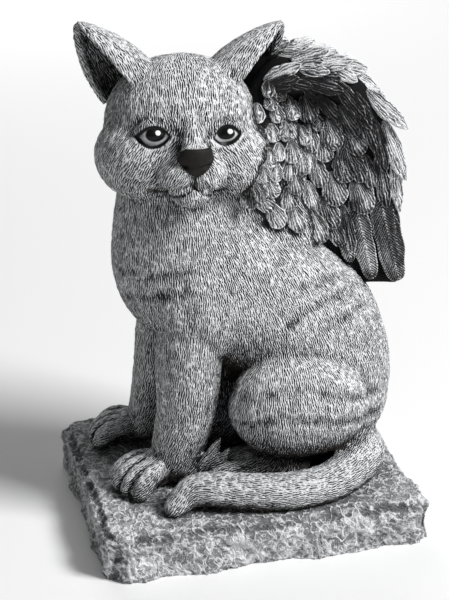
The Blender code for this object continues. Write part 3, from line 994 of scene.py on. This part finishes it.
def plinth_skin(voxel):
    """The rough-hewn plinth with its crust, cut off flat below."""
    size = Vector((PLINTH_WIDTH, PLINTH_LENGTH, PLINTH_HEIGHT)) / UNIT
    block = bmesh.new()
    bmesh.ops.create_cube(block, size=1)
    for vert in block.verts:
        vert.co.z -= 0.5
        vert.co = vert.co * size
        if vert.co.z < -1:
            vert.co.z -= BELOW_GROUND
    upright = [e for e in block.edges if abs(e.verts[0].co.z - e.verts[1].co.z) > 1]
    bmesh.ops.bevel(block, geom=upright, offset=PLINTH_CORNER, segments=3, affect="EDGES")
    rim = [e for e in block.edges if min(v.co.z for v in e.verts) > -1]
    bmesh.ops.bevel(block, geom=rim, offset=PLINTH_EDGE, segments=2, affect="EDGES")
    bmesh.ops.triangulate(block, faces=block.faces)
    mesh = bpy.data.meshes.new("plinth")
    block.to_mesh(mesh)
    block.free()
    rough = skinned(mesh, voxel, PLINTH_SOFTENING)
    points, normals = surface_of(rough)
    side = 1 - np.abs(normals[:, 2])
    coarse = np.array([noise.fractal(Vector(p / PLINTH_LUMP), 1.0, 2.0, 2) for p in points])
    coarse *= PLINTH_TOP_RELIEF + PLINTH_SIDE_RELIEF * side
    warp = np.column_stack([grain(points + 50 * k, 9.0) for k in (1, 2, 3)])
    swirl = (1 - np.clip(np.abs(grain(points + 6.0 * warp, 7.5)) * 2.2, 0, 1)) ** 1.4
    fine = (1 - np.clip(np.abs(grain(points + 3.5 * warp + 90, 3.4)) * 1.9, 0, 1)) ** 1.2
    pits = grain(points, 1.7)
    crust = side * (1.7 * swirl + 0.9 * fine - 0.8) + (1 - side) * (0.6 * swirl + 0.9 * fine - 0.5)
    crust += 0.15 * pits
    move_to(rough, points + normals * (coarse + 0.8 * crust)[:, None])
    keep_field(rough, "crust", crust)
    ground = -PLINTH_HEIGHT / UNIT
    return parted(rough, (0, 0, ground), (0, 0, 1))


# Finishes


class Signal:
    """One number that varies over a surface. Sums and products of signals add Math nodes."""

    def __init__(self, finish, socket):
        self.finish = finish
        self.socket = socket

    def math(self, operation, first, second=0.0):
        node = self.finish.node("ShaderNodeMath", {"operation": operation}, {0: first, 1: second})
        return Signal(self.finish, node.outputs[0])

    def __add__(self, other):
        return self.math("ADD", self, other)

    def __sub__(self, other):
        return self.math("SUBTRACT", self, other)

    def __rsub__(self, other):
        return self.math("SUBTRACT", other, self)

    def __mul__(self, other):
        return self.math("MULTIPLY", self, other)

    def sine(self):
        return self.math("SINE", self)

    def size(self):
        return self.math("ABSOLUTE", self)

    def most(self, other):
        return self.math("MAXIMUM", self, other)

    __radd__ = __add__
    __rmul__ = __mul__


class Finish:
    """A material while its nodes are laid."""

    def __init__(self, name, roughness=0.9):
        self.material = bpy.data.materials.new(name)
        self.material.use_nodes = True
        self.tree = self.material.node_tree
        self.shader = self.tree.nodes["Principled BSDF"]
        self.shader.inputs["Roughness"].default_value = roughness
        self.shader.inputs["Specular IOR Level"].default_value = 0.2

    def feed(self, socket, value):
        value = value.socket if isinstance(value, Signal) else value
        if isinstance(value, bpy.types.NodeSocket):
            self.tree.links.new(value, socket)
        else:
            socket.default_value = value

    def node(self, kind, settings=None, inputs=None):
        node = self.tree.nodes.new(kind)
        for name, value in (settings or {}).items():
            setattr(node, name, value)
        for key, value in (inputs or {}).items():
            self.feed(node.inputs[key], value)
        return node

    def field(self, name):
        """A number kept on the mesh."""
        node = self.node("ShaderNodeAttribute", {"attribute_type": "GEOMETRY", "attribute_name": name})
        return Signal(self, node.outputs["Fac"])

    def arrow(self, name):
        """A vector kept on the mesh."""
        node = self.node("ShaderNodeAttribute", {"attribute_type": "GEOMETRY", "attribute_name": name})
        return node.outputs["Vector"]

    def place(self):
        return self.node("ShaderNodeTexCoord").outputs["Object"]

    def cloud(self, size, detail=2.0, roughness=0.5):
        """Soft noise from 0 to 1 with lumps of about this size in millimetres."""
        inputs = {"Vector": self.place(), "Scale": 1 / (size * UNIT), "Detail": detail}
        node = self.node("ShaderNodeTexNoise", None, {**inputs, "Roughness": roughness})
        return Signal(self, node.outputs["Fac"])

    def strokes(self, spacing, length, across):
        """Short parallel strokes, about even around 0 with a spread of 1."""
        inputs = {
            "Vector": self.place(), "Scale": 1 / (length * UNIT), "Frequency": length / spacing,
            "Anisotropy": 1.0, 5: across,
        }
        node = self.node("ShaderNodeTexGabor", {"gabor_type": "3D"}, inputs)
        return (Signal(self, node.outputs["Value"]) - 0.5) * 8.0

    def rise(self, value, low, high):
        """Rises smoothly from 0 where the value is low to 1 where it is high."""
        settings = {"interpolation_type": "SMOOTHSTEP"}
        node = self.node("ShaderNodeMapRange", settings, {0: value, 1: low, 2: high})
        return Signal(self, node.outputs[0])

    def blend(self, share, first, second):
        """A colour between two colours."""
        node = self.node("ShaderNodeMix", {"data_type": "RGBA"}, {0: share, 6: first, 7: second})
        return node.outputs[2]

    def done(self, colour, height, depth):
        """Sets the colour and a relief of the given depth in millimetres."""
        self.feed(self.shader.inputs["Base Color"], colour)
        bump = self.node("ShaderNodeBump", None, {"Distance": depth * UNIT, "Height": height})
        self.feed(self.shader.inputs["Normal"], bump.outputs["Normal"])
        return self.material


def colour(values):
    return (*values, 1.0)


def painted(f, brown, brush, mid, pale, paint):
    """Wash that turns brown by a share, then stone and pale paint where the brush is high, which also
    lays painted shade and painted light.
    """
    wash = f.blend(brown, colour(paint.wash), colour(paint.rust))
    base = f.blend(f.rise(brush, *mid), wash, colour(paint.stone))
    return f.blend(f.rise(brush, *pale), base, colour(paint.brushed))


def coat_finish(name, paint, face=False):
    """Cast fur: dark wash in the cuts, pale paint brushed over the strokes' backs, painted shade in the
    hollows and near the feathers.
    """
    f = Finish(name)
    strokes = f.strokes(1.35, 2.4, f.arrow("comb"))
    hair, tuft = f.field("hair"), f.field("tuft")
    hollow, ridge, dark = f.field("hollow"), f.field("ridge"), f.field("dark")
    patch = f.cloud(22, 3.0) - 0.5
    speck = f.cloud(1.1, 2.0, 0.7) - 0.5
    height = strokes * 0.95 + hair * 0.3 + speck * 2.2
    brush = height * 0.9 + tuft * 0.06 + patch * 0.5 + ridge * 0.7
    # Hollows and dark marks take pale paint away: wash and painted shade in hollows, painted shade near
    # eyes, nose and feathers.
    brush = brush - hollow * (1.35 if face else 1.9) - dark + 0.42
    brown = f.rise(hollow + f.cloud(14, 2.0) * 0.4, 0.5, 1.1)
    surface = painted(f, brown, brush, (-0.7, 0.1), (0.0, 0.8), paint)
    if face:
        lid, pupil, glint, nose = (f.field(n) for n in ("lid", "pupil", "glint", "nose"))
        below = f.rise(pupil, 1.0, 1.7)
        iris = f.blend(below * (f.cloud(2.2) * 0.6 + 0.6), colour(paint.iris), colour(paint.iris_edge))
        ball = f.blend(f.rise(pupil, 0.9, 1.06), colour(paint.black), iris)
        ball = f.blend(f.rise(lid, 1.7, 0.7), ball, colour(paint.black))
        # A painted highlight on each pupil.
        ball = f.blend(f.rise(glint, 1.9, 1.3), ball, colour(paint.glint))
        surface = f.blend(f.rise(lid, -0.9, -0.1), surface, ball)
        nose_skin = f.blend(f.cloud(3.0), colour(paint.nose), colour(paint.nose_light))
        nose_skin = f.blend(f.rise(f.field("nostril"), 0.2, 0.8), nose_skin, colour(paint.black))
        surface = f.blend(f.rise(nose, -0.3, 0.4), surface, nose_skin)
        bare = f.rise(lid, -1.2, -0.4).most(f.rise(nose, -0.6, 0.2))
        height = height * (1 - bare)
        eye_gloss = f.rise(lid, -0.1, 0.3)
        rough = 0.9 - eye_gloss * 0.5 - f.rise(nose, -0.1, 0.3) * 0.25
        f.feed(f.shader.inputs["Roughness"], rough)
    return f.done(surface, height, 0.36)


def feather_finish(name, paint):
    """Cast feathers: dark between the barbs, pale on barbs, shafts and rims."""
    f = Finish(name)
    vane, rim, brush_and_light_field, along = (f.field(n) for n in ("vane", "rim", "brush", "length"))
    hollow, gap = f.field("hollow"), f.field("gap")
    ragged = vane + (f.cloud(2.6, 2.0) - 0.5) * 1.0
    coarse = 1 - (ragged * math.pi).sine().size() * 2.0
    fine = (ragged * (3 * math.pi)).sine()
    speck = f.cloud(1.0, 2.0, 0.7) - 0.5
    patch = f.cloud(9, 3.0) - 0.5
    height = coarse * 0.6 + fine * 0.2 + speck * 1.8
    # Each feather's root is painted darker, as painted shade under the feather that overlaps it.
    # Each kind's share carries painted light on the arch feathers and painted shade under the arch.
    brush = height + rim * 0.7 + patch * 0.8 + brush_and_light_field + f.rise(along, 0.3, 0.8) * 0.5
    # Painted shade in the hollows and in the spaces between the feathers.
    brush = brush - hollow * 1.1 - gap * 2.6 - 0.2
    surface = painted(f, f.rise(hollow, 0.5, 1.1), brush, (-0.8, 0.2), (0.1, 1.0), paint)
    return f.done(surface, height, 0.4)


def core_finish(name, paint):
    """The plate under the feathers, left near black: dark wash, and painted shade where it shows
    between the feathers.
    """
    f = Finish(name)
    speck = f.cloud(1.3, 3.0, 0.7)
    base = f.blend(f.rise(speck, 0.55, 1.3), colour(paint.black), colour(paint.stone))
    return f.done(base, speck, 0.5)


def crust_finish(name, paint):
    """The plinth's crust: pale on its ridges, rusty and dark in its pits, and painted shade where the
    cat closes in over it.
    """
    f = Finish(name)
    crust, hollow = f.field("crust"), f.field("hollow")
    pits = f.cloud(1.0, 3.0, 0.75) - 0.5
    patch = f.cloud(26, 2.0) - 0.5
    wide = 1.0 - (f.cloud(11.0, 1.5) - 0.5).size() * 24.0
    thin = 1.0 - (f.cloud(5.0, 1.5) - 0.5).size() * 18.0
    veins = wide.most(0.0) * 1.1 + thin.most(0.0) * 0.8
    height = crust * 0.4 + pits * 1.4 + veins * 1.3
    brush = crust * 0.4 + pits * 2.0 + veins * 1.0 + patch * 0.6 - hollow * 1.0 + 0.55
    surface = painted(f, f.cloud(18, 2.0), brush, (-1.3, 0.0), (0.0, 1.4), paint)
    return f.done(surface, height, 0.6)


# Add-on


def shade(name, description, default):
    return FloatVectorProperty(
        name=name, description=description, default=default, size=3, min=0, max=1, subtype="COLOR"
    )


class CastingDetail(bpy.types.PropertyGroup):
    """How fine the carving is."""

    head_voxel: FloatProperty(
        name="Head mesh", description="Mesh size on the head, in millimetres", default=0.82, min=0.6
    )
    body_voxel: FloatProperty(
        name="Body mesh", description="Mesh size on the body, in millimetres", default=1.12, min=0.9
    )
    core_voxel: FloatProperty(
        name="Wing plate mesh", description="Mesh size under the feathers, in millimetres", default=1.7
    )
    plinth_voxel: FloatProperty(
        name="Plinth mesh", description="Mesh size on the plinth, in millimetres", default=1.1, min=0.9
    )
    fur_depth: FloatProperty(
        name="Fur depth", description="How deep the fur strokes are cut", default=0.00016, unit="LENGTH"
    )
    feather_rows: IntProperty(
        name="Feather rows", description="Steps along each feather", default=27, min=8
    )
    feather_columns: IntProperty(
        name="Feather columns", description="Steps across each feather", default=31, min=9
    )


class CastingPaint(bpy.types.PropertyGroup):
    """The casting's paints."""

    # The wash paints are also laid as painted shade, and the pale paint as painted light, where the
    # finishes put them.
    wash: shade("Wash", "Dark wash in every recess", (0.016, 0.0155, 0.016))
    rust: shade("Brown wash", "Brownish wash low on the casting", (0.042, 0.034, 0.028))
    stone: shade("Stone", "Bare stone under the brushed paint", (0.16, 0.163, 0.17))
    brushed: shade("Brushed", "Pale paint on the raised strokes", (0.80, 0.81, 0.825))
    black: shade("Eye black", "Pupils and the lines round the eyes", (0.003, 0.003, 0.003))
    iris: shade("Iris", "Pale part of the eyes", (0.58, 0.59, 0.60))
    iris_edge: shade("Iris edge", "Darker part of the eyes", (0.22, 0.23, 0.24))
    # The glint is a painted highlight on each pupil.
    glint: shade("Glint", "Painted dots on the pupils", (0.9, 0.9, 0.9))
    nose: shade("Nose", "Nose pad", (0.005, 0.004, 0.004))
    nose_light: shade("Nose light", "Worn parts of the nose pad", (0.018, 0.015, 0.013))


class StudioLight(bpy.types.PropertyGroup):
    """Floor, lights and camera."""

    floor: shade("Floor", "The plain floor", (0.93, 0.93, 0.93))
    key_power: FloatProperty(
        name="Key", description="Power of the soft light from the upper right", default=108.0, min=0
    )
    fill_power: FloatProperty(
        name="Fill", description="Power of the wide light from the left", default=0.4, min=0
    )
    floor_power: FloatProperty(
        name="Floor light", description="Power of the light over the floor behind", default=34.0, min=0
    )
    sky: FloatProperty(
        name="Sky", description="Strength of the even light all round", default=0.10, min=0
    )
    azimuth: FloatProperty(
        name="Azimuth", description="Where the camera stands round the casting",
        default=math.radians(75), subtype="ANGLE",
    )
    elevation: FloatProperty(
        name="Elevation", description="How high the camera stands", default=math.radians(22),
        subtype="ANGLE",
    )
    distance: FloatProperty(
        name="Distance", description="From the camera to its aim", default=1.02, unit="LENGTH"
    )
    lens: FloatProperty(name="Lens", description="Focal length in millimetres", default=97.2, min=10)
    aim: FloatVectorProperty(
        name="Aim", description="What the camera looks at", default=(-0.002, -0.008, 0.141),
        subtype="XYZ",
    )


class WINGEDCAT_OT_cat(bpy.types.Operator):
    """Build the cat's head, front and rear with face and fur"""

    bl_idname = "wingedcat.cat"
    bl_label = "Cat"

    def execute(self, context):
        detail, paint = context.scene.cat_detail, context.scene.cat_paint
        depth = detail.fur_depth / UNIT
        tree = casting_tree()
        body = torso()
        head = head_skin(body, detail.head_voxel)
        dark, bare = carve_face(head)
        points, normals = surface_of(head)
        local = into_head(points)
        brow = ramp(local[:, 2], -4, 14)
        slant = 0.65 * np.tanh(local[:, 1] / 8) * (1 - brow) - 0.012 * local[:, 1] * brow
        ways = np.column_stack([0 * slant, slant, -np.ones(len(slant))])
        turn = np.array(head_frame())[:3, :3]
        share = ramp(points[:, 2], 196, 212)[:, None]
        heading = unit(ways) @ turn.T * share + coat_heading(points, normals) * (1 - share)
        heading = along_surface(heading, normals)
        carve_coat(head, heading, bare, dark, depth, tree, detail.head_voxel)
        stand(head, "cat_head", coat_finish("fur_of_head", paint, face=True), CASTING)
        whole = body_skin(body, detail.body_voxel)
        bands = np.maximum(carve_bands(whole), carve_toes(whole))
        points, normals = surface_of(whole)
        heading = coat_heading(points, normals)
        carve_coat(whole, heading, 0 * bands, bands, depth, tree, detail.body_voxel)
        finish = coat_finish("fur_of_body", paint)
        stand(parted(whole, (0, WAIST, 0), (0, -1, 0)), "cat_front", finish, CASTING)
        stand(parted(whole, (0, WAIST, 0), (0, 1, 0)), "cat_rear", finish, CASTING)
        return {"FINISHED"}


class WINGEDCAT_OT_wings(bpy.types.Operator):
    """Build both wings' feathers and the plate between them"""

    bl_idname = "wingedcat.wings"
    bl_label = "Wings"

    def execute(self, context):
        detail, paint = context.scene.cat_detail, context.scene.cat_paint
        core = wing_core_skin(detail.core_voxel)
        stand(core, "wing_core", core_finish("under_feathers", paint), CASTING)
        graph = context.evaluated_depsgraph_get()
        trees = []
        for name in ("cat_head", "cat_front", "cat_rear", "wing_core"):
            mesh = bpy.data.objects[name].evaluated_get(graph).to_mesh().copy()
            mesh.transform(Matrix.Scale(1 / UNIT, 4) @ Matrix.Translation((0, 0, -PLINTH_HEIGHT)))
            trees.append(tree_of(mesh))
            bpy.data.meshes.remove(mesh)
        tree = casting_tree()
        finish = feather_finish("feathers", paint)
        for side, name in ((1, "left_wing"), (-1, "right_wing")):
            mesh = wing_mesh(trees, side, detail.feather_rows, detail.feather_columns)
            points, normals = surface_of(mesh)
            # Painted shade where the casting closes in over the feathers.
            keep_field(mesh, "hollow", hollows(points, normals, tree))
            # Painted shade between the feathers, where neighbouring feathers close in over each point.
            gap = hollows(points, normals, tree_of(mesh), grid=1.4, reach=8.0, clear=0.7)
            keep_field(mesh, "gap", gap - np.median(gap))
            stand(mesh, name, finish, CASTING)
        feathered = [read(bpy.data.objects[n].data.vertices, "co") for n in ("left_wing", "right_wing")]
        # Painted shade on the fur close to the feathers.
        for name in ("cat_head", "cat_front", "cat_rear"):
            paint_shade_near_feathers(bpy.data.objects[name].data, np.vstack(feathered)[::5])
        return {"FINISHED"}


class WINGEDCAT_OT_plinth(bpy.types.Operator):
    """Build the plinth with its crust"""

    bl_idname = "wingedcat.plinth"
    bl_label = "Plinth"

    def execute(self, context):
        detail, paint = context.scene.cat_detail, context.scene.cat_paint
        mesh = plinth_skin(detail.plinth_voxel)
        points, normals = surface_of(mesh)
        # Painted shade on the plinth where the cat closes in over it.
        keep_field(mesh, "hollow", hollows(points, normals, casting_tree()))
        stand(mesh, "plinth", crust_finish("crust", paint), CASTING)
        return {"FINISHED"}


class WINGEDCAT_OT_stage(bpy.types.Operator):
    """Build the floor, the lights and the camera"""

    bl_idname = "wingedcat.stage"
    bl_label = "Stage"

    def execute(self, context):
        studio = context.scene.cat_studio
        bpy.ops.mesh.primitive_plane_add(size=8)
        floor = context.object
        floor.name = "floor"
        finish = Finish("floor_paint", 0.8)
        finish.feed(finish.shader.inputs["Base Color"], colour(studio.floor))
        floor.data.materials.append(finish.material)
        world = bpy.data.worlds.new("studio")
        context.scene.world = world
        world.use_nodes = True
        sky = world.node_tree.nodes["Background"]
        sky.inputs["Color"].default_value = (1, 1, 1, 1)
        sky.inputs["Strength"].default_value = studio.sky
        azimuth, elevation = studio.azimuth, studio.elevation
        towards = Vector((math.sin(azimuth), -math.cos(azimuth), 0))
        right = Vector((math.cos(azimuth), math.sin(azimuth), 0))
        up = Vector((0, 0, 1))
        aim = Vector(studio.aim)
        lamps = (
            ("key", studio.key_power, 0.9, right * 2.0 + towards * 0.9 + up * 2.0),
            ("fill", studio.fill_power, 1.2, towards * 1.8 - right * 1.0 + up * 0.8),
            ("floor_light", studio.floor_power, 1.6, up * 1.4 - towards * 2.4 - right * 0.6),
        )
        for name, power, size, way in lamps:
            data = bpy.data.lights.new(name, "AREA")
            data.energy = power
            data.size = size
            lamp = bpy.data.objects.new(name, data)
            lamp.location = aim + way
            if name != "floor_light":
                lamp.rotation_euler = (-way).to_track_quat("-Z", "Y").to_euler()
            context.scene.collection.objects.link(lamp)
        back = towards * math.cos(elevation) + up * math.sin(elevation)
        camera = bpy.data.objects.new("camera", bpy.data.cameras.new("camera"))
        camera.data.lens = studio.lens
        camera.location = aim + back * studio.distance
        camera.rotation_euler = (-back).to_track_quat("-Z", "Y").to_euler()
        context.scene.collection.objects.link(camera)
        context.scene.camera = camera
        context.scene.view_settings.view_transform = "Standard"
        return {"FINISHED"}


class WINGEDCAT_PT_panel(bpy.types.Panel):
    """Lists the casting's settings and the buttons that build its pieces"""

    bl_label = "Winged cat"
    bl_space_type = "VIEW_3D"
    bl_region_type = "UI"
    bl_category = "Winged cat"

    def draw(self, context):
        for operator in OPERATORS:
            self.layout.operator(operator.bl_idname)
        for group in (context.scene.cat_detail, context.scene.cat_paint, context.scene.cat_studio):
            box = self.layout.box()
            for name in group.__annotations__:
                box.prop(group, name)


GROUPS = {"cat_detail": CastingDetail, "cat_paint": CastingPaint, "cat_studio": StudioLight}
OPERATORS = (WINGEDCAT_OT_cat, WINGEDCAT_OT_wings, WINGEDCAT_OT_plinth, WINGEDCAT_OT_stage)


def register():
    for name, group in GROUPS.items():
        bpy.utils.register_class(group)
        setattr(bpy.types.Scene, name, PointerProperty(type=group))
    for kind in (*OPERATORS, WINGEDCAT_PT_panel):
        bpy.utils.register_class(kind)


def unregister():
    for kind in (WINGEDCAT_PT_panel, *reversed(OPERATORS)):
        bpy.utils.unregister_class(kind)
    for name, group in GROUPS.items():
        delattr(bpy.types.Scene, name)
        bpy.utils.unregister_class(group)


def main():
    register()
    bpy.ops.wingedcat.cat()
    bpy.ops.wingedcat.wings()
    bpy.ops.wingedcat.plinth()
    bpy.ops.wingedcat.stage()


if __name__ == "__main__":
    main()
